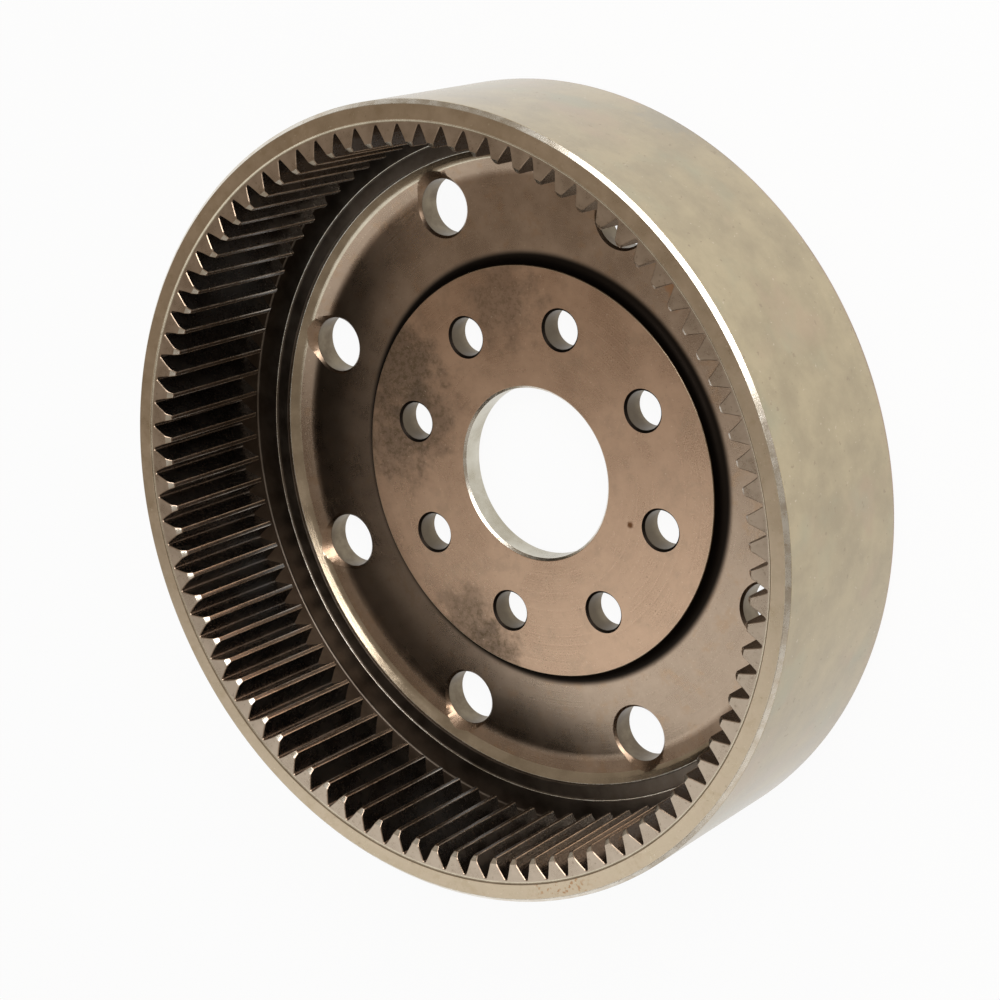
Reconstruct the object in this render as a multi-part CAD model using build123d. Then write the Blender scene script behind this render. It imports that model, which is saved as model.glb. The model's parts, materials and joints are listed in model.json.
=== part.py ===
from build123d import *
from math import acos, cos, pi, radians, sin, tan
import os

# Internal ring gear of a planetary drive: a drum with spur teeth inside its rim, closed at the back
# by a dished web and a raised hub that bolts to the part it drives. One turned and shaped piece.
# Millimetres. +Z runs along the gear's axis to the open, toothed end, and the drum stands on its
# back face at z = 0. A tooth is centred on +X.

# Teeth
module = 3.0
tooth_count = 90
pressure_angle = 22.5
profile_shift = 0.38  # moves the teeth outward and widens the spaces between them, in modules
addendum_factor = 1.28  # tooth height inside the shifted pitch circle, in modules
dedendum_factor = 1.39  # tooth depth outside the shifted pitch circle, in modules
face_width = 50.9
tip_chamfer = 1.8  # on the front end of each tooth

# Rim
rim_wall = 8.69  # tooth roots out to the outside of the drum
front_chamfer = 1.5
back_chamfer = 5.5
tooth_recess = 0.6  # the tooth ends lie this far below the rim's face
recess_clearance = 0.69  # tooth roots out to the slope that rises from that recess
recess_slope_width = 1.0

# Relief groove behind the teeth, where the cutter runs out, and the two steps of the drum's floor
relief_clearance = 0.69  # tooth roots out to the wall of the groove
relief_width = 10.4
outer_floor_width = 10.4
floor_step = 0.7
inner_floor_width = 5.6
dish_step = 0.8

# Dished web
web_thickness = 10.0
dish_ramp_width = 6.7  # the dish rises to its edge in two bevels, a shallow ramp and a steeper lip
dish_ramp_height = 2.0
dish_lip_width = 3.0
dish_lip_height = 2.6
web_bolt_inset = 17.0  # edge of the dish in to the bolt circle
web_hole_count = 8
web_hole_radius = 11.0
web_hole_chamfer = 1.0
web_hole_angle = 0.0  # first hole, from +X

# Hub
bore_radius = 33.5
bore_chamfer = 1.0
hub_bolt_margin = 25.5  # bore out to the bolt circle
hub_hole_count = 8
hub_hole_radius = 7.5
hub_hole_chamfer = 0.9
hub_hole_angle = 8.0
boss_margin = 21.8  # bolt circle out to the side of the boss
boss_height = 4.4
back_recess_depth = 5.0
back_recess_wall = 4.8  # side of the boss in to the wall of the recess behind it

# Past a face, a cutting tool runs on by this much.
tool_overrun = 1.0

pitch_radius = module * tooth_count / 2
base_radius = pitch_radius * cos(radians(pressure_angle))
tooth_middle_radius = pitch_radius + profile_shift * module
tip_radius = tooth_middle_radius - addendum_factor * module
root_radius = tooth_middle_radius + dedendum_factor * module
outer_radius = root_radius + rim_wall
recess_radius = root_radius + recess_clearance
rim_inner_radius = recess_radius + recess_slope_width
relief_radius = root_radius + relief_clearance
floor_step_radius = relief_radius - outer_floor_width
dish_radius = floor_step_radius - inner_floor_width
ramp_radius = dish_radius - dish_lip_width
web_radius = ramp_radius - dish_ramp_width
web_bolt_radius = dish_radius - web_bolt_inset
hub_bolt_radius = bore_radius + hub_bolt_margin
boss_radius = hub_bolt_radius + boss_margin
back_recess_radius = boss_radius - back_recess_wall

boss_z = web_thickness + boss_height
ramp_z = web_thickness + dish_ramp_height
dish_z = ramp_z + dish_lip_height
inner_floor_z = dish_z + dish_step
outer_floor_z = inner_floor_z + floor_step
tooth_back_z = outer_floor_z + relief_width
tooth_front_z = tooth_back_z + face_width
rim_z = tooth_front_z + tooth_recess


def bevelled(face, corner, length):
    """The face with its corner at this point cut off at 45 degrees."""
    return chamfer(face.vertices().sort_by_distance(corner)[0], length)


def drum_section():
    """Half of the drum's section, radius along X and height along Y, with its teeth still solid."""
    bore_edge = (bore_radius, boss_z)
    tip_corner = (tip_radius, tooth_front_z)
    front_corner = (outer_radius, rim_z)
    back_corner = (outer_radius, 0)
    section = make_face(
        Polyline(
            bore_edge,
            (bore_radius, back_recess_depth),
            (back_recess_radius, back_recess_depth),
            (back_recess_radius, 0),
            back_corner,
            front_corner,
            (rim_inner_radius, rim_z),
            (recess_radius, tooth_front_z),
            tip_corner,
            (tip_radius, tooth_back_z),
            (relief_radius, tooth_back_z),
            (relief_radius, outer_floor_z),
            (floor_step_radius, outer_floor_z),
            (floor_step_radius, inner_floor_z),
            (dish_radius, inner_floor_z),
            (dish_radius, dish_z),
            (ramp_radius, ramp_z),
            (web_radius, web_thickness),
            (boss_radius, web_thickness),
            (boss_radius, boss_z),
            close=True,
        )
    )
    section = bevelled(section, back_corner, back_chamfer)
    section = bevelled(section, front_corner, front_chamfer)
    section = bevelled(section, tip_corner, tip_chamfer)
    return bevelled(section, bore_edge, bore_chamfer)


def involute(angle):
    """The involute function of an angle in radians."""
    return tan(angle) - angle


def flank_angle(radius):
    """Angle of the involute at this radius, in radians."""
    return acos(base_radius / radius)


def space_point(radius, side):
    """Where the space between two teeth, centred on +X, has its flank at this radius."""
    at_pitch_circle = (pi / 2 + 2 * profile_shift * tan(radians(pressure_angle))) / tooth_count
    narrowing = involute(flank_angle(radius)) - involute(radians(pressure_angle))
    half_space = at_pitch_circle - narrowing
    return (radius * cos(half_space), side * radius * sin(half_space))


def tooth_space():
    """Outline of the space between two teeth. An arc follows each involute flank to within a hundredth."""
    flank_radii = (tip_radius - tool_overrun, tooth_middle_radius, root_radius)
    left = [space_point(radius, 1) for radius in flank_radii]
    right = [space_point(radius, -1) for radius in flank_radii]
    outline = Line(right[0], left[0])
    outline += ThreePointArc(*left)
    outline += ThreePointArc(left[-1], (root_radius, 0), right[-1])
    outline += ThreePointArc(*right)
    return make_face(outline)


def tooth_space_cutters():
    """One cutter for each tooth space, from the relief groove out past the front of the teeth."""
    bottom = tooth_back_z - tool_overrun
    cutter = extrude(Pos(0, 0, bottom) * tooth_space(), rim_z + tool_overrun - bottom)
    half_pitch = 180 / tooth_count
    return [place * cutter for place in PolarLocations(0, tooth_count, start_angle=half_pitch)]


def hole_cutters(circle_radius, count, start_angle, hole_radius, hole_chamfer, bottom, top, rise):
    """Cutters for a circle of through holes, chamfered at the front and running on past it."""
    half = make_face(
        Polyline(
            (0, bottom - tool_overrun),
            (hole_radius, bottom - tool_overrun),
            (hole_radius, top - hole_chamfer),
            (hole_radius + hole_chamfer + rise, top + rise),
            (0, top + rise),
            close=True,
        )
    )
    cutter = revolve(Plane.XZ * half, Axis.Z)
    return [place * cutter for place in PolarLocations(circle_radius, count, start_angle=start_angle)]


def ring_gear():
    """The whole gear: the turned drum, its drilled holes, then its shaped teeth.

    The web's holes lie partly in the dish's ramp, so the chamfer around them runs up as high as the dish.
    """
    web_holes = hole_cutters(
        web_bolt_radius, web_hole_count, web_hole_angle, web_hole_radius, web_hole_chamfer,
        0, web_thickness, dish_z - web_thickness,
    )
    hub_holes = hole_cutters(
        hub_bolt_radius, hub_hole_count, hub_hole_angle, hub_hole_radius, hub_hole_chamfer,
        back_recess_depth, boss_z, tool_overrun,
    )
    drum = revolve(Plane.XZ * drum_section(), Axis.Z)
    drum = drum - web_holes - hub_holes
    return drum - tooth_space_cutters()


os.makedirs("parts", exist_ok=True)
export_step(ring_gear(), "parts/ring_gear.step")
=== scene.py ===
import json
import math

import bmesh
import bpy
from mathutils import Matrix, Vector


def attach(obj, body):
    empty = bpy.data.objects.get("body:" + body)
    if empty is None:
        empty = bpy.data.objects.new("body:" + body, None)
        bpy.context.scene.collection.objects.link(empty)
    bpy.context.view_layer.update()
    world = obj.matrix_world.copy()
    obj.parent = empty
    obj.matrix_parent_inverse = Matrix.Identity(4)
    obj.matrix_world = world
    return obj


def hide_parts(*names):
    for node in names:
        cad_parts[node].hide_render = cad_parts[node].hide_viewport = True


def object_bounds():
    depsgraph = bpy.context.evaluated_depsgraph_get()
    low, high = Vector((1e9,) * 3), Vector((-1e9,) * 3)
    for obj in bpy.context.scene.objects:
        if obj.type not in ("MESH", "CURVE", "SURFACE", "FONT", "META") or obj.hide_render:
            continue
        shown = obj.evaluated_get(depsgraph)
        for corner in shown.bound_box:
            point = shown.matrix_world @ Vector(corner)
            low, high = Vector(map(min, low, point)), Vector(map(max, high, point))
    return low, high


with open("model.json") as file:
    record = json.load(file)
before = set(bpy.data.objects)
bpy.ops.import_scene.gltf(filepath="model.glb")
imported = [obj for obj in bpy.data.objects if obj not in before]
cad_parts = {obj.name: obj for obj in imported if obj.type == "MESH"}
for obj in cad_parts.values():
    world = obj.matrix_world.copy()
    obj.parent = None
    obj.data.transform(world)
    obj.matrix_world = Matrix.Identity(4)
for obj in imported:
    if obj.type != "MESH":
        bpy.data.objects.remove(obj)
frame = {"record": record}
cad_low, cad_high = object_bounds()

# ---------------------------------------------------------------------------------------------------
# The turned blank. The whole gear is one steel forging: its drum wall, stepped floor, dished web and
# raised hub are turned on a lathe, so every one of these faces is a surface of revolution. Edges are
# broken with a file or a small tool, and inside corners keep the radius of the tool that cut them.

MM = 0.001
mounts = {mount["name"]: mount for mount in frame["record"]["mounts"]}

# Widths are across the axis and depths along it, in millimetres.
RIM_WALL = 8.69
ROOT_CLEARANCE = 0.69
RECESS_SLOPE_WIDTH = 1.0
RECESS_DEPTH = 0.6
TOOTH_LENGTH = 50.9
RELIEF_DEPTH = 10.4
OUTER_FLOOR_WIDTH = 10.4
FLOOR_STEP_DEPTH = 0.7
INNER_FLOOR_WIDTH = 5.6
DISH_EDGE_DEPTH = 0.8
LIP_WIDTH = 3.0
LIP_DEPTH = 2.6
RAMP_WIDTH = 6.7
RAMP_DEPTH = 2.0
BACK_RECESS_WALL = 4.8
FRONT_CHAMFER = 1.5
BACK_CHAMFER = 5.5
BORE_CHAMFER = 1.0

# Radii, from the outside in.
OUTSIDE = cad_high.x / MM
TOOTH_ROOT = OUTSIDE - RIM_WALL
RECESS = TOOTH_ROOT + ROOT_CLEARANCE
RIM_INNER = RECESS + RECESS_SLOPE_WIDTH
RELIEF = TOOTH_ROOT + ROOT_CLEARANCE
FLOOR_STEP = RELIEF - OUTER_FLOOR_WIDTH
DISH_EDGE = FLOOR_STEP - INNER_FLOOR_WIDTH
RAMP_EDGE = DISH_EDGE - LIP_WIDTH
WEB_EDGE = RAMP_EDGE - RAMP_WIDTH
BOSS = 80.8
BACK_RECESS = BOSS - BACK_RECESS_WALL
BORE = mounts["bore"]["dims"]["r_mm"]

# Heights, from the open end down.
RIM = cad_high.z / MM
TOOTH_FRONT = RIM - RECESS_DEPTH
TOOTH_BACK = TOOTH_FRONT - TOOTH_LENGTH
OUTER_FLOOR = TOOTH_BACK - RELIEF_DEPTH
INNER_FLOOR = OUTER_FLOOR - FLOOR_STEP_DEPTH
DISH_LIP = INNER_FLOOR - DISH_EDGE_DEPTH
RAMP_TOP = DISH_LIP - LIP_DEPTH
WEB_FACE = RAMP_TOP - RAMP_DEPTH
HUB_FACE = mounts["hub_face"]["pos_m"][2] / MM
HUB_BACK = 5.0


class Value:
    """A shader socket that can be used in sums like a number."""

    def __init__(self, shader, socket):
        self.shader = shader
        self.socket = socket

    def combined(self, operation, first, second):
        return self.shader.node("ShaderNodeMath", {"operation": operation}, {0: first, 1: second})

    def __add__(self, other):
        return self.combined("ADD", self, other)

    def __radd__(self, other):
        return self.combined("ADD", other, self)

    def __sub__(self, other):
        return self.combined("SUBTRACT", self, other)

    def __rsub__(self, other):
        return self.combined("SUBTRACT", other, self)

    def __mul__(self, other):
        return self.combined("MULTIPLY", self, other)

    def __rmul__(self, other):
        return self.combined("MULTIPLY", other, self)


class Shader:
    """The nodes of a material or of the world."""

    def __init__(self, owner):
        owner.use_nodes = True
        self.owner = owner
        self.tree = owner.node_tree
        self.tree.nodes.clear()

    def node(self, kind, settings=None, inputs=None, output=0):
        """Adds a node, sets it up, feeds its sockets and gives back one of its outputs."""
        made = self.tree.nodes.new(kind)
        for name, setting in (settings or {}).items():
            setattr(made, name, setting)
        for key, value in (inputs or {}).items():
            if isinstance(value, Value):
                self.tree.links.new(value.socket, made.inputs[key])
            else:
                made.inputs[key].default_value = value
        return Value(self, made.outputs[output]) if made.outputs else None


def colour(red, green, blue):
    return (red, green, blue, 1.0)


# Each finish by its name, in the order of the gear's material slots.
finishes = {}


class Steel(Shader):
    """Browned steel that drifts between two colours, with fine grain. Lengths here are in metres."""

    def __init__(self, name, light, dark, roughness, patches):
        super().__init__(bpy.data.materials.new(name))
        self.place = self.node("ShaderNodeTexCoord", output="Object")
        mottle = self.noise(patches, detail=6.0, roughness=0.62)
        paleness = self.ramp(mottle, 0.28, 0.72)
        grain = self.noise(2600.0, detail=2.0)
        self.base = self.mix(paleness, dark, light)
        self.gloss = roughness + 0.10 * (grain - 0.5) + 0.08 * (paleness - 0.5)
        self.relief = grain

    def noise(self, scale, detail=3.0, roughness=0.5, place=None):
        """Noise between 0 and 1, with this many features to the metre."""
        inputs = {"Vector": place or self.place, "Scale": scale, "Detail": detail, "Roughness": roughness}
        return self.node("ShaderNodeTexNoise", inputs=inputs, output="Fac")

    def ramp(self, value, low, high, start=0.0, end=1.0):
        """A value that goes smoothly from start to end as the given one goes from low to high."""
        inputs = {"Value": value, "From Min": low, "From Max": high, "To Min": start, "To Max": end}
        return self.node("ShaderNodeMapRange", {"interpolation_type": "SMOOTHSTEP"}, inputs)

    def mix(self, factor, first, second):
        """A colour part of the way from the first to the second, through a Mix node's colour sockets."""
        inputs = {0: factor, 6: first, 7: second}
        return self.node("ShaderNodeMix", {"data_type": "RGBA"}, inputs, output=2)

    def stretched(self, scale):
        """The place on the gear, stretched by a different factor along each axis."""
        return self.node("ShaderNodeVectorMath", {"operation": "MULTIPLY"}, {0: self.place, 1: scale})

    def radius(self):
        """Distance from the gear's axis."""
        across = self.stretched((1, 1, 0))
        return self.node("ShaderNodeVectorMath", {"operation": "LENGTH"}, {0: across}, output="Value")

    def along(self, direction):
        """How far the place lies in a direction."""
        inputs = {0: self.place, 1: direction}
        return self.node("ShaderNodeVectorMath", {"operation": "DOT_PRODUCT"}, inputs, output="Value")

    def near(self, centre, reach, ragged):
        """1 at a point, falling to 0 at this reach from it, with a ragged edge."""
        inputs = {0: self.place, 1: centre}
        distance = self.node("ShaderNodeVectorMath", {"operation": "DISTANCE"}, inputs, output="Value")
        tears = self.noise(2.5 / reach, detail=5.0, roughness=0.65) - 0.5
        torn_distance = distance + reach * ragged * tears * 2
        full_within = 0.3 * reach
        return self.ramp(torn_distance, full_within, reach, 1.0, 0.0)

    def cover(self, share, tint, duller=0.0):
        """Covers a share of the surface with another colour, and makes it duller there."""
        self.base = self.mix(share, self.base, tint)
        self.gloss = self.gloss + share * duller

    def clouds(self, per_metre, low, high, tint, strength, detail=5.0, roughness=0.7):
        """Soft patches of another colour, where noise rises from low to high."""
        patches = self.ramp(self.noise(per_metre, detail, roughness), low, high)
        self.cover(patches * strength, tint)

    def specks(self, per_metre, threshold, tint, strength):
        """Small spots of another colour where noise rises above a threshold."""
        spots = self.noise(per_metre, detail=2.0)
        self.cover(self.ramp(spots, threshold, threshold + 0.05) * strength, tint, duller=0.1)

    def turned(self, per_metre, depth):
        """Adds the fine circular marks of the lathe, which change outward and along the axis only."""
        across_marks = {"X": self.radius(), "Y": self.along((0, 0, 1))}
        marks_place = self.node("ShaderNodeCombineXYZ", inputs=across_marks)
        marks = self.noise(per_metre, detail=2.0, place=marks_place)
        self.relief = self.relief + marks * depth
        self.gloss = self.gloss + 0.08 * (marks - 0.5)

    def finished(self, metallic=1.0, oil_film=0.0):
        """Joins the colour, gloss and relief into a material and adds it to the gear's finishes."""
        bump_inputs = {"Strength": 0.12, "Distance": 0.0002, "Height": self.relief}
        bump = self.node("ShaderNodeBump", inputs=bump_inputs, output="Normal")
        inputs = {"Base Color": self.base, "Roughness": self.gloss, "Metallic": metallic, "Normal": bump}
        inputs |= {"Coat Weight": oil_film, "Coat Roughness": 0.15}
        surface = self.node("ShaderNodeBsdfPrincipled", inputs=inputs)
        self.node("ShaderNodeOutputMaterial", inputs={"Surface": surface})
        finishes[self.owner.name] = self.owner


# The outside of the drum, ground and thinly oiled, with olive and reddish clouds and one old smudge.
outer_wall = Steel(
    "ground_outside",
    light=colour(0.51, 0.42, 0.26),
    dark=colour(0.38, 0.305, 0.185),
    roughness=0.42,
    patches=60.0,
)
outer_wall.clouds(35.0, 0.52, 0.68, colour(0.48, 0.35, 0.23), 0.5, detail=4.0, roughness=0.5)
outer_wall.clouds(28.0, 0.53, 0.69, colour(0.38, 0.37, 0.25), 0.5, detail=4.0, roughness=0.5)
outer_wall.specks(420.0, 0.68, colour(0.30, 0.22, 0.14), 0.5)
outer_wall.specks(700.0, 0.70, colour(0.75, 0.66, 0.50), 0.5)
smudge = outer_wall.near((0.108, 0.102, 0.010), 0.016, ragged=0.9)
outer_wall.cover(smudge * 0.40, colour(0.30, 0.29, 0.25), duller=0.05)
outer_wall.turned(900.0, depth=0.6)
outer_wall.finished(metallic=0.6, oil_film=0.6)

# The rim's face, with a few spots of rust on one side.
RUST = colour(0.42, 0.19, 0.075)
rim = Steel(
    "turned_rim",
    light=colour(0.60, 0.46, 0.325),
    dark=colour(0.50, 0.38, 0.26),
    roughness=0.32,
    patches=90.0,
)
rim.clouds(160.0, 0.50, 0.66, colour(0.42, 0.30, 0.18), 0.35)
rim.specks(500.0, 0.68, colour(0.28, 0.19, 0.12), 0.35)
rim.specks(900.0, 0.68, colour(0.80, 0.68, 0.52), 0.4)
rust_spots = rim.ramp(rim.noise(700.0, detail=2.0), 0.57, 0.63)
rusty_side = rim.near((-0.004, -0.1455, RIM * MM), 0.020, ragged=0.9)
rim.cover(rusty_side * rust_spots * 0.7, RUST, duller=0.1)
rim.turned(1500.0, depth=1.0)
rim.finished()

# Edges and chamfers painted pale: partly bare steel that handling has worn bright, partly a painted
# highlight along these edges.
edge = Steel(
    "worn_edge",
    light=colour(0.88, 0.84, 0.76),
    dark=colour(0.66, 0.58, 0.47),
    roughness=0.26,
    patches=160.0,
)
edge.specks(600.0, 0.66, colour(0.45, 0.35, 0.24), 0.6)
edge.finished()

# The dish's steep lip and the slope round the tooth recess, cut with a fine feed.
lip = Steel(
    "dish_lip",
    light=colour(0.56, 0.46, 0.34),
    dark=colour(0.40, 0.32, 0.23),
    roughness=0.19,
    patches=90.0,
)
lip.turned(1500.0, depth=0.8)
lip.finished()

# The relief groove and the two steps of the floor, given a dark colour that paints in the shade deep
# inside the drum.
groove = Steel(
    "relief_groove",
    light=colour(0.19, 0.155, 0.125),
    dark=colour(0.12, 0.095, 0.075),
    roughness=0.38,
    patches=90.0,
)
groove.turned(1800.0, depth=1.2)
groove.finished()

# The web, the boss's side and the back. Shade is painted onto the web: darker on its left, most of all
# next to the ramp, and darkest in the boss's corner.
web = Steel(
    "forged_web",
    light=colour(0.47, 0.335, 0.24),
    dark=colour(0.32, 0.222, 0.155),
    roughness=0.29,
    patches=45.0,
)
web.clouds(130.0, 0.52, 0.68, colour(0.40, 0.25, 0.15), 0.5)
web.specks(750.0, 0.66, colour(0.20, 0.14, 0.09), 0.25)
web.specks(900.0, 0.66, colour(0.66, 0.52, 0.38), 0.35)
web.cover(web.near((0.0917, 0.0462, 0.010), 0.012, ragged=0.9) * 0.6, RUST, duller=0.1)
inside_ramp = web.ramp(web.radius(), (WEB_EDGE - 3.0) * MM, (WEB_EDGE + 2.0) * MM, 1.0, 0.0)
# Painted shade on the web's left side, deepest next to the ramp.
left_side = web.ramp(web.along((1, 0, 0)), -0.095, -0.02, 1.0, 0.0)
web.cover(left_side * inside_ramp * 0.55, colour(0.10, 0.075, 0.055))
left_half = web.ramp(web.along((1, 0, 0)), -0.07, 0.01, 1.0, 0.0)
next_to_ramp = web.ramp(web.radius(), 0.093, 0.106)
web.cover(left_half * next_to_ramp * inside_ramp * 0.6, colour(0.06, 0.045, 0.032))
# Painted shade in the corner at the foot of the boss, with the gloss dulled there too.
boss_corner = web.ramp(web.radius(), (BOSS + 3.0) * MM, (BOSS + 5.8) * MM, 1.0, 0.0)
front_of_web = web.ramp(web.along((0, 0, 1)), 0.006, 0.008)
web.cover(boss_corner * front_of_web, colour(0.025, 0.019, 0.015), duller=0.25)
web.turned(1200.0, depth=0.6)
web.finished()

# The hub's face, with burnt oil in grainy stains and one dark pit.
hub = Steel(
    "hub_face",
    light=colour(0.54, 0.345, 0.228),
    dark=colour(0.40, 0.25, 0.163),
    roughness=0.29,
    patches=50.0,
)
OIL_STAIN = colour(0.13, 0.095, 0.07)
BURNT_OIL = colour(0.13, 0.088, 0.042)
burnt_grain = hub.ramp(hub.noise(420.0, detail=5.0, roughness=0.8), 0.45, 0.60)
for x, y, reach, strength in (
    (-0.0455, 0.0567, 0.026, 0.60),
    (-0.0610, 0.0317, 0.022, 0.55),
    (-0.0400, 0.0340, 0.018, 0.45),
    (-0.0571, -0.0460, 0.020, 0.45),
    (-0.0502, -0.0603, 0.016, 0.50),
    (0.0140, 0.0664, 0.022, 0.35),
):
    stained = hub.near((x, y, HUB_FACE * MM), reach, ragged=1.0) * strength
    hub.cover(stained, OIL_STAIN, duller=0.12)
    hub.cover(stained * burnt_grain, BURNT_OIL, duller=0.10)
pit = hub.near((0.0347, -0.0301, HUB_FACE * MM), 0.0018, ragged=0.4)
hub.cover(pit, colour(0.20, 0.09, 0.04), duller=0.2)
hub.clouds(110.0, 0.50, 0.68, colour(0.36, 0.24, 0.16), 0.4, detail=6.0)
hub.specks(700.0, 0.67, colour(0.22, 0.145, 0.095), 0.25)
hub.specks(900.0, 0.68, colour(0.78, 0.60, 0.44), 0.4)
hub.turned(1300.0, depth=0.8)
hub.finished()

# The bore, turned bright.
bore_wall = Steel(
    "bored_wall",
    light=colour(0.70, 0.67, 0.58),
    dark=colour(0.42, 0.38, 0.29),
    roughness=0.30,
    patches=45.0,
)
bore_wall.turned(2000.0, depth=0.8)
bore_wall.finished()

# Faces round the axis, and the largest turn between two points of a rounding.
COLUMNS = 360
ARC_STEP = math.radians(15)

gear = bmesh.new()


def rounded_path(corners):
    """Points (radius, height, finish) along a path whose corners are rounded to the radii given."""
    path = []
    for index, (radius, height, rounding, finish) in enumerate(corners):
        if rounding == 0:
            path.append((radius, height, finish))
            continue
        corner = Vector((radius, height))
        to_before = (Vector(corners[index - 1][:2]) - corner).normalized()
        to_after = (Vector(corners[index + 1][:2]) - corner).normalized()
        half_opening = to_before.angle(to_after) / 2
        centre = corner + (to_before + to_after).normalized() * rounding / math.sin(half_opening)
        reach = rounding / math.tan(half_opening)
        start = corner + to_before * reach - centre
        turn = start.angle_signed(corner + to_after * reach - centre)
        steps = max(2, math.ceil(abs(turn) / ARC_STEP))
        for step in range(steps + 1):
            spoke = Matrix.Rotation(-turn * step / steps, 2) @ start
            path.append((centre.x + spoke.x, centre.y + spoke.y, finish))
    return path


def ring(radius, height):
    """A circle of vertices about the gear's axis, the first one on +X."""
    step = 2 * math.pi / COLUMNS
    return [
        gear.verts.new((radius * MM * math.cos(i * step), radius * MM * math.sin(i * step), height * MM))
        for i in range(COLUMNS)
    ]


def paint(face, finish):
    face.material_index = list(finishes).index(finish)


def band(first, second, finish):
    """Quads between two circles of vertices."""
    for i in range(COLUMNS):
        j = (i + 1) % COLUMNS
        paint(gear.faces.new((first[i], first[j], second[j], second[i])), finish)


# Each corner's radius, height and rounding, and the finish of the rounding and the face after it.
# Where only the rounding has that finish, an unrounded point soon after it starts the next finish.
# The pale edge finish is partly wear and partly a painted highlight on the front and bore chamfers. At
# the edge of the dish and at the floor step it is a painted highlight line, in a band this wide.
HIGHLIGHT_BAND_WIDTH = 0.4
BOSS_EDGE_WIDTH = 0.5
blank_corners = [
    (RECESS, TOOTH_FRONT, 0, "dish_lip"),
    (RIM_INNER, RIM, 0.5, "turned_rim"),
    (OUTSIDE - FRONT_CHAMFER, RIM, 0.3, "worn_edge"),
    (OUTSIDE, RIM - FRONT_CHAMFER, 0.3, "ground_outside"),
    (OUTSIDE, BACK_CHAMFER, 2.5, "forged_web"),
    (OUTSIDE - BACK_CHAMFER, 0, 2.5, "forged_web"),
    (BACK_RECESS, 0, 0.5, "forged_web"),
    (BACK_RECESS, HUB_BACK, 1.5, "forged_web"),
    (BORE, HUB_BACK, 0.4, "bored_wall"),
    (BORE, HUB_FACE - BORE_CHAMFER, 0.2, "worn_edge"),
    (BORE + BORE_CHAMFER, HUB_FACE, 0.2, "hub_face"),
    (BOSS, HUB_FACE, 0.4, "turned_rim"),
    (BOSS, HUB_FACE - BOSS_EDGE_WIDTH, 0, "forged_web"),
    (BOSS, WEB_FACE, 3.6, "forged_web"),
    (WEB_EDGE, WEB_FACE, 12.0, "forged_web"),
    (RAMP_EDGE, RAMP_TOP, 5.0, "dish_lip"),
    (DISH_EDGE, DISH_LIP, 0.25, "worn_edge"),
    (DISH_EDGE, DISH_LIP - HIGHLIGHT_BAND_WIDTH, 0, "relief_groove"),
    (DISH_EDGE, INNER_FLOOR, 0.2, "relief_groove"),
    (FLOOR_STEP, INNER_FLOOR, 0.3, "relief_groove"),
    (FLOOR_STEP, OUTER_FLOOR, 0.25, "worn_edge"),
    (FLOOR_STEP + HIGHLIGHT_BAND_WIDTH, OUTER_FLOOR, 0, "relief_groove"),
    (RELIEF, OUTER_FLOOR, 1.0, "relief_groove"),
    (RELIEF, TOOTH_BACK, 0, "relief_groove"),
]
blank_path = rounded_path(blank_corners)
blank_rings = [ring(radius, height) for radius, height, finish in blank_path]
for this_ring, next_ring, (radius, height, finish) in zip(blank_rings, blank_rings[1:], blank_path):
    band(this_ring, next_ring, finish)
front_ring = blank_rings[0]
back_ring = blank_rings[-1]

# ---------------------------------------------------------------------------------------------------
# The teeth. Ninety spur teeth are shaped inside the rim, each space between two of them having
# involute flanks and a rounded root. The turned chamfer takes the front corner off every tip, and
# the sharp edges around both ends of a tooth are lightly broken.

TEETH = 90
MODULE = 3.0
PRESSURE_ANGLE = math.radians(22.5)
PROFILE_SHIFT = 0.38
WHOLE_DEPTH = 8.01
TIP_CHAMFER = 1.8
TIP_ROUNDING = 0.28
ROOT_ROUNDING = 0.8
EDGE_BREAK = 0.26

PITCH_RADIUS = MODULE * TEETH / 2
BASE_RADIUS = PITCH_RADIUS * math.cos(PRESSURE_ANGLE)
PITCH_ANGLE = 2 * math.pi / TEETH
TOOTH_TIP = TOOTH_ROOT - WHOLE_DEPTH
CHAMFER_EDGE = TOOTH_TIP + TIP_CHAMFER
ROOT_CENTRE = TOOTH_ROOT - ROOT_ROUNDING

# The points of an outline: one in the middle of the tip's rounding, one inside the chamfer's edge, and
# then even steps down the flank and shares of the turn into the root.
TIP_BEND_RISE = 0.3
TIP_BEND_TURN = 0.72
FIRST_FLANK_POINT = 0.7
FLANK_STEPS = 5
ROOT_SHARES = (0.33, 0.67, 1.0)
COLUMNS_PER_TOOTH = COLUMNS // TEETH

flank = Steel(
    "shaped_tooth",
    light=colour(0.22, 0.21, 0.20),
    dark=colour(0.14, 0.132, 0.124),
    roughness=0.27,
    patches=90.0,
)
flank.specks(700.0, 0.64, colour(0.32, 0.25, 0.19), 0.5)
cutter_strokes = flank.noise(60.0, place=flank.stretched((30.0, 30.0, 1.0)))
flank.relief = flank.relief + 1.5 * cutter_strokes
flank.finished()

# The rounding along each tip is painted much paler than the flanks: a painted highlight along the crest.
crest = Steel(
    "tooth_crest",
    light=colour(0.78, 0.72, 0.64),
    dark=colour(0.46, 0.41, 0.35),
    roughness=0.28,
    patches=150.0,
)
crest.finished()

tooth_end = Steel(
    "tooth_end",
    light=colour(0.50, 0.385, 0.29),
    dark=colour(0.38, 0.285, 0.21),
    roughness=0.30,
    patches=140.0,
)
tooth_end.specks(700.0, 0.64, colour(0.24, 0.17, 0.12), 0.5)
tooth_end.finished()


def involute(angle):
    return math.tan(angle) - angle


def space_half_angle(radius):
    """Half the angle of the space between two teeth, on a circle of this radius."""
    at_pitch_circle = (math.pi / 2 + 2 * PROFILE_SHIFT * math.tan(PRESSURE_ANGLE)) / TEETH
    return at_pitch_circle - involute(math.acos(BASE_RADIUS / radius)) + involute(PRESSURE_ANGLE)


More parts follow.
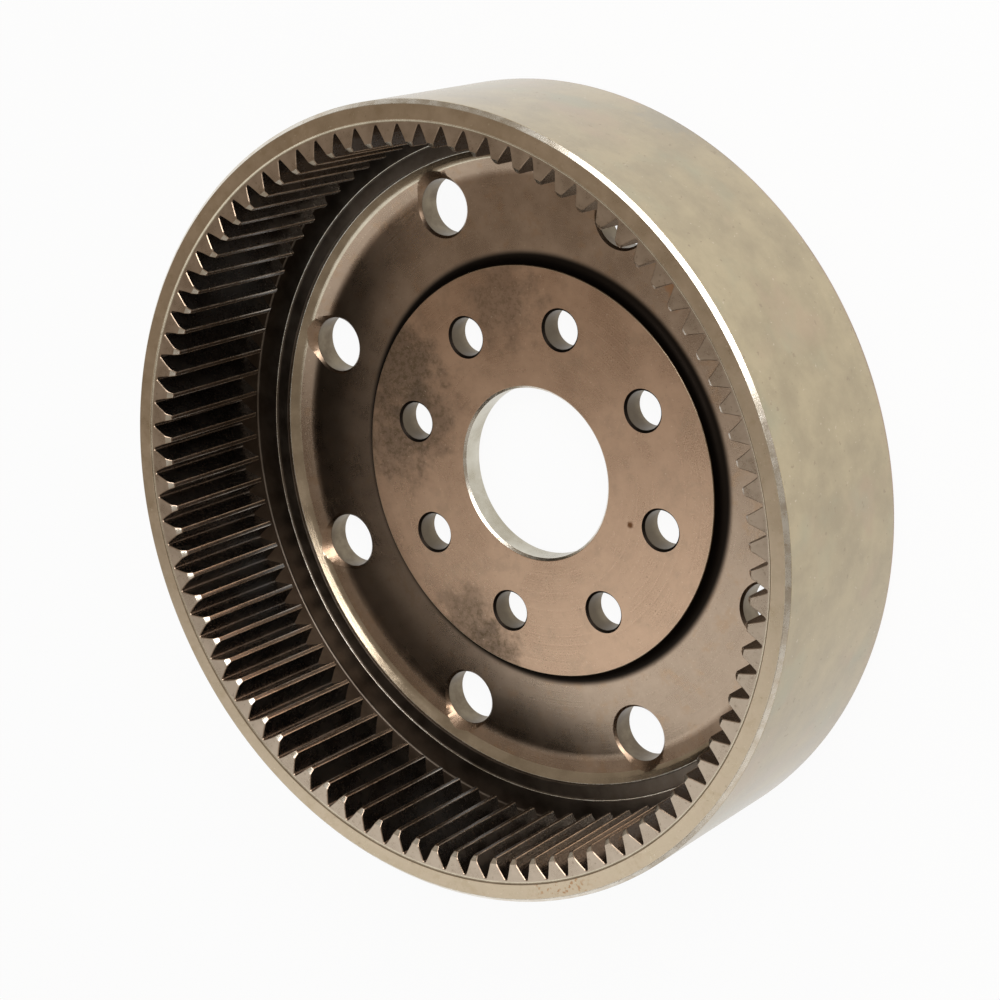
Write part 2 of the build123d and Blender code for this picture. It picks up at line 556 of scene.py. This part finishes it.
def half_tooth_outline():
    """Points (radius, angle from the tooth's middle), from the middle of the tip to that of the root."""
    corner_radius = TOOTH_TIP + TIP_ROUNDING
    corner_angle = PITCH_ANGLE / 2 - space_half_angle(corner_radius)
    land_angle = PITCH_ANGLE / 2 - space_half_angle(TOOTH_TIP) - TIP_ROUNDING / TOOTH_TIP
    bend_radius = TOOTH_TIP + TIP_BEND_RISE * TIP_ROUNDING
    bend_angle = land_angle + TIP_BEND_TURN * (corner_angle - land_angle)
    points = [(TOOTH_TIP, 0.0), (TOOTH_TIP, land_angle)]
    points += [(bend_radius, bend_angle), (corner_radius, corner_angle)]

    root_slope = math.acos(BASE_RADIUS / TOOTH_ROOT)
    flank_end = ROOT_CENTRE + ROOT_ROUNDING * math.sin(root_slope)
    flank_radii = [TOOTH_TIP + FIRST_FLANK_POINT]
    for step in range(FLANK_STEPS + 1):
        flank_radii.append(CHAMFER_EDGE + step / FLANK_STEPS * (flank_end - CHAMFER_EDGE))
    for radius in flank_radii:
        points.append((radius, PITCH_ANGLE / 2 - space_half_angle(radius)))

    for share in ROOT_SHARES:
        turn = root_slope + share * (math.pi / 2 - root_slope)
        radius = ROOT_CENTRE + ROOT_ROUNDING * math.sin(turn)
        points.append((radius, PITCH_ANGLE / 2 - ROOT_ROUNDING * math.cos(turn) / radius))
    return points


def inset(points, distance):
    """The outline moved into the tooth by this distance, point by point."""
    moved = []
    for index, (radius, angle) in enumerate(points):
        before = points[max(index - 1, 0)]
        after = points[min(index + 1, len(points) - 1)]
        run = Vector((after[0] - before[0], radius * (after[1] - before[1])))
        if index in (0, len(points) - 1):
            run = Vector((0.0, 1.0))
        inward = Vector((run.y, -run.x)).normalized() * distance
        moved.append((radius + inward.x, angle + inward.y / radius))
    return moved


def front_height(radius):
    """Height of the tooth's front end, which the tip chamfer lowers inside its edge."""
    return TOOTH_FRONT - max(0.0, CHAMFER_EDGE - radius)


def mirrored(points):
    """A half outline made whole: from the root on the tooth's right to the root on its left."""
    return [(radius, -angle) for radius, angle in reversed(points[1:])] + points


half_outline = half_tooth_outline()
middle = len(half_outline) - 1
chamfer_points = [radius for radius, angle in half_outline].index(CHAMFER_EDGE)
outline = mirrored(half_outline)
end_outline = mirrored(inset(half_outline, EDGE_BREAK))


def tooth_row(points, heights, turn):
    """Vertices for a whole tooth outline, turned about the axis."""
    row = []
    for (radius, angle), height in zip(points, heights):
        place = (radius * math.cos(turn + angle), radius * math.sin(turn + angle), height)
        row.append(gear.verts.new(Vector(place) * MM))
    return row


def tooth_sides(rows):
    """The tip, flanks and roots of one tooth, with the broken edges at both of its ends."""
    for lower, upper in zip(rows, rows[1:]):
        for i in range(len(lower) - 1):
            # The rounding runs from the first to the third point on either side of the tip's middle.
            on_tip_rounding = 1 < abs(i + 0.5 - middle) < 3
            side_finish = "tooth_crest" if on_tip_rounding else "shaped_tooth"
            finish = "tooth_end" if upper is rows[-1] else side_finish
            paint(gear.faces.new((lower[i], lower[i + 1], upper[i + 1], upper[i])), finish)


def tooth_chamfer(front_row):
    """The face that the turned chamfer leaves on the front of one tip, painted pale as a painted
    highlight.
    """
    for i in range(1, chamfer_points):
        quad = (
            front_row[middle - i],
            front_row[middle + i],
            front_row[middle + i + 1],
            front_row[middle - i - 1],
        )
        paint(gear.faces.new(quad), "worn_edge")
    paint(gear.faces.new(front_row[middle - 1 : middle + 2]), "worn_edge")


def tooth_ends(front_row, back_row, first_column):
    """The flat ends of one tooth, joined to the blank's front and back circles."""
    columns = [(first_column + i) % COLUMNS for i in range(COLUMNS_PER_TOOTH + 1)]
    front_arc = [front_ring[i] for i in reversed(columns)]
    back_arc = [back_ring[i] for i in reversed(columns)]
    beside_chamfer = front_row[: middle - chamfer_points + 1] + front_row[middle + chamfer_points :]
    paint(gear.faces.new(beside_chamfer + front_arc), "tooth_end")
    paint(gear.faces.new(back_row + back_arc), "shaped_tooth")


back_heights = [TOOTH_BACK] * len(outline)
back_flank_heights = [TOOTH_BACK + EDGE_BREAK] * len(outline)
front_flank_heights = [front_height(radius) - EDGE_BREAK for radius, angle in outline]
front_heights = [front_height(radius) for radius, angle in end_outline]

for tooth in range(TEETH):
    turn = tooth * PITCH_ANGLE
    rows = [
        tooth_row(end_outline, back_heights, turn),
        tooth_row(outline, back_flank_heights, turn),
        tooth_row(outline, front_flank_heights, turn),
        tooth_row(end_outline, front_heights, turn),
    ]
    tooth_sides(rows)
    tooth_chamfer(rows[-1])
    tooth_ends(rows[-1], rows[0], tooth * COLUMNS_PER_TOOTH - COLUMNS_PER_TOOTH // 2)

MERGE_WITHIN = 0.002
bmesh.ops.remove_doubles(gear, verts=gear.verts[:], dist=MERGE_WITHIN * MM)
bmesh.ops.recalc_face_normals(gear, faces=gear.faces[:])

# ---------------------------------------------------------------------------------------------------
# The drilled holes. A circle of bolt holes goes through the hub and a circle of larger ones through
# the web, each drilled right through and countersunk a little at the front. The countersinks of the
# web's holes run up onto the ramp of the dish. Drilling finishes the gear.

HUB_HOLE_CHAMFER = 0.9
HUB_HOLE_ANGLE = 8.0
WEB_HOLE_CHAMFER = 1.0
WEB_HOLE_ANGLE = 0.0
HOLE_COLUMNS = 96
CORNER_BREAK = 0.15
COUNTERSINK_BREAK = 0.3 * CORNER_BREAK
OVERRUN = 3.0
SHARP_FROM = math.radians(32)

hole_wall = Steel(
    "drilled_hole",
    light=colour(0.26, 0.215, 0.15),
    dark=colour(0.13, 0.10, 0.07),
    roughness=0.38,
    patches=110.0,
)
# Painted shade: the hole walls are darker towards the front, the hub's holes most of all.
near_front = hole_wall.ramp(hole_wall.along((0, 0, 1)), 0.004, 0.010)
darker_in_hub = hole_wall.ramp(hole_wall.radius(), 0.075, 0.085, 0.75, 0.30)
hole_wall.cover(near_front * darker_in_hub, colour(0.10, 0.078, 0.055))
hole_wall.finished()

holes = bmesh.new()


def drill(centre, radius, chamfer, top):
    """A closed cutter for one hole: a shaft, its countersink, and an overrun past both faces."""
    profile = [
        (radius, -OVERRUN),
        (radius, top - chamfer - CORNER_BREAK),
        (radius + COUNTERSINK_BREAK, top - chamfer + COUNTERSINK_BREAK),
        (radius + chamfer + OVERRUN, top + OVERRUN),
    ]
    circles = []
    for circle_radius, height in profile:
        circle = []
        for i in range(HOLE_COLUMNS):
            angle = 2 * math.pi * i / HOLE_COLUMNS
            spoke = Vector((math.cos(angle), math.sin(angle), 0)) * circle_radius
            circle.append(holes.verts.new((centre + spoke + Vector((0, 0, height))) * MM))
        circles.append(circle)
    for lower, upper in zip(circles, circles[1:]):
        finish = "forged_web" if upper is circles[-1] else "drilled_hole"
        for i in range(HOLE_COLUMNS):
            j = (i + 1) % HOLE_COLUMNS
            paint(holes.faces.new((lower[i], lower[j], upper[j], upper[i])), finish)
    holes.faces.new(list(reversed(circles[0])))
    holes.faces.new(circles[-1])


def drill_circle(mount, chamfer, first_angle, top):
    """One cutter for each hole of a bolt circle."""
    sizes = mount["dims"]
    for hole in range(sizes["count"]):
        angle = math.radians(first_angle) + 2 * math.pi * hole / sizes["count"]
        centre = Vector((math.cos(angle), math.sin(angle), 0)) * sizes["pcd_mm"] / 2
        drill(centre, sizes["hole_r_mm"], chamfer, top)


def finished_object(name, shape):
    """An object made from a bmesh, with the gear's finishes in its material slots."""
    mesh = bpy.data.meshes.new(name)
    shape.to_mesh(mesh)
    for finish in finishes.values():
        mesh.materials.append(finish)
    made = bpy.data.objects.new(name, mesh)
    bpy.context.scene.collection.objects.link(made)
    return made


drill_circle(mounts["hub_bolts"], HUB_HOLE_CHAMFER, HUB_HOLE_ANGLE, HUB_FACE)
drill_circle(mounts["web_bolts"], WEB_HOLE_CHAMFER, WEB_HOLE_ANGLE, WEB_FACE)
hole_cutters = finished_object("hole_cutters", holes)
ring_gear = finished_object("ring_gear_steel", gear)

drilling = ring_gear.modifiers.new("drilling", "BOOLEAN")
drilling.operation = "DIFFERENCE"
drilling.solver = "EXACT"
drilling.object = hole_cutters
evaluated = ring_gear.evaluated_get(bpy.context.evaluated_depsgraph_get())
drilled = bpy.data.meshes.new_from_object(evaluated)
ring_gear.modifiers.clear()
ring_gear.data = drilled
bpy.data.objects.remove(hole_cutters)
drilled.shade_smooth()
drilled.set_sharp_from_angle(angle=SHARP_FROM)
weighting = ring_gear.modifiers.new("weighted normals", "WEIGHTED_NORMAL")
weighting.keep_sharp = True

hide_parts("ring_gear")
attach(ring_gear, "root")

# ---------------------------------------------------------------------------------------------------
# The studio. The gear lies on a white floor in a pale room, lit by several soft lamps. The floor
# looks white to the camera and in the steel's reflections, and still takes the gear's shadow.

FLOOR_REACH = 12.0
FLOOR_HEIGHT = -0.0001
FLOOR_WHITE = 0.94
ROOM_STRENGTH = 0.32
WHITE = colour(1, 1, 1)

floor_corners = [
    (x * FLOOR_REACH, y * FLOOR_REACH, FLOOR_HEIGHT) for x, y in ((-1, -1), (1, -1), (1, 1), (-1, 1))
]
floor_mesh = bpy.data.meshes.new("studio_floor")
floor_mesh.from_pydata(floor_corners, [], [(0, 1, 2, 3)])
studio_floor = bpy.data.objects.new("studio_floor", floor_mesh)
bpy.context.scene.collection.objects.link(studio_floor)

floor = Shader(bpy.data.materials.new("white_floor"))
seen = floor.node("ShaderNodeLightPath", output="Is Camera Ray")
for ray in ("Is Glossy Ray", "Is Transmission Ray"):
    seen = seen + floor.node("ShaderNodeLightPath", output=ray)
seen = floor.node("ShaderNodeClamp", inputs={"Value": seen * FLOOR_WHITE})
paper = floor.node("ShaderNodeBsdfDiffuse", inputs={"Color": colour(0.85, 0.85, 0.85)})
glow = floor.node("ShaderNodeEmission", inputs={"Color": WHITE, "Strength": 1.0})
floor_surface = floor.node("ShaderNodeMixShader", inputs={0: seen, 1: paper, 2: glow})
floor.node("ShaderNodeOutputMaterial", inputs={"Surface": floor_surface})
floor_mesh.materials.append(floor.owner)

# The room is pale to the steel, and white where the camera sees past the floor.
room = Shader(bpy.data.worlds.new("pale_room"))
pale_inputs = {"Color": colour(1.0, 0.90, 0.78), "Strength": ROOM_STRENGTH}
pale = room.node("ShaderNodeBackground", inputs=pale_inputs)
white = room.node("ShaderNodeBackground", inputs={"Color": WHITE})
to_camera = room.node("ShaderNodeLightPath", output="Is Camera Ray")
room_surface = room.node("ShaderNodeMixShader", inputs={0: to_camera, 1: pale, 2: white})
room.node("ShaderNodeOutputWorld", inputs={"Surface": room_surface})
bpy.context.scene.world = room.owner


def softbox(name, place, size, watts, tint=(1, 1, 1)):
    """A square area lamp that shines at the gear from this place."""
    lamp = bpy.data.lights.new(name, "AREA")
    lamp.shape = "SQUARE"
    lamp.size = size
    lamp.energy = watts
    lamp.color = tint
    placed = bpy.data.objects.new(name, lamp)
    bpy.context.scene.collection.objects.link(placed)
    placed.location = place
    placed.rotation_euler = Vector(place).to_track_quat("Z", "Y").to_euler()
    placed.visible_camera = False


COOL = (0.78, 0.91, 1.0)
PALE_BLUE = (0.85, 0.93, 1.0)
softbox("front_softbox", place=(0.92, 0.36, 0.95), size=0.75, watts=9.0)
softbox("near_softbox", place=(-0.32, -0.20, 0.50), size=0.28, watts=0.30, tint=COOL)
softbox("far_softbox", place=(-0.56, -0.10, 0.45), size=0.22, watts=0.11, tint=COOL)
softbox("dish_softbox", place=(-0.36, -0.03, 0.52), size=0.20, watts=0.04, tint=PALE_BLUE)
softbox("low_right_softbox", place=(0.30, -1.20, 0.15), size=1.0, watts=1.5)
softbox("side_softbox", place=(0.69, 0.94, 0.58), size=0.5, watts=3.0)

# The camera looks down on the open side, rolled so that the gear's +Y is nearly upright.
camera_data = bpy.data.cameras.new("camera")
camera_data.sensor_width = 36.0
camera_data.lens = 84.49
camera_data.clip_start = 0.01
camera_data.clip_end = 50.0
camera = bpy.data.objects.new("camera", camera_data)
bpy.context.scene.collection.objects.link(camera)
camera_place = Vector((0.56674, 0.00941, 0.71141))
forward = Vector((-0.64428, -0.01573, -0.76462)).normalized()
upright = Vector((0.25730, 0.93705, -0.23608))
right = forward.cross(upright).normalized()
up = right.cross(forward)
aim = Matrix((right, up, -forward)).transposed().to_4x4()
camera.matrix_world = Matrix.Translation(camera_place) @ aim
bpy.context.scene.camera = camera
bpy.context.scene.view_settings.view_transform = "Standard"
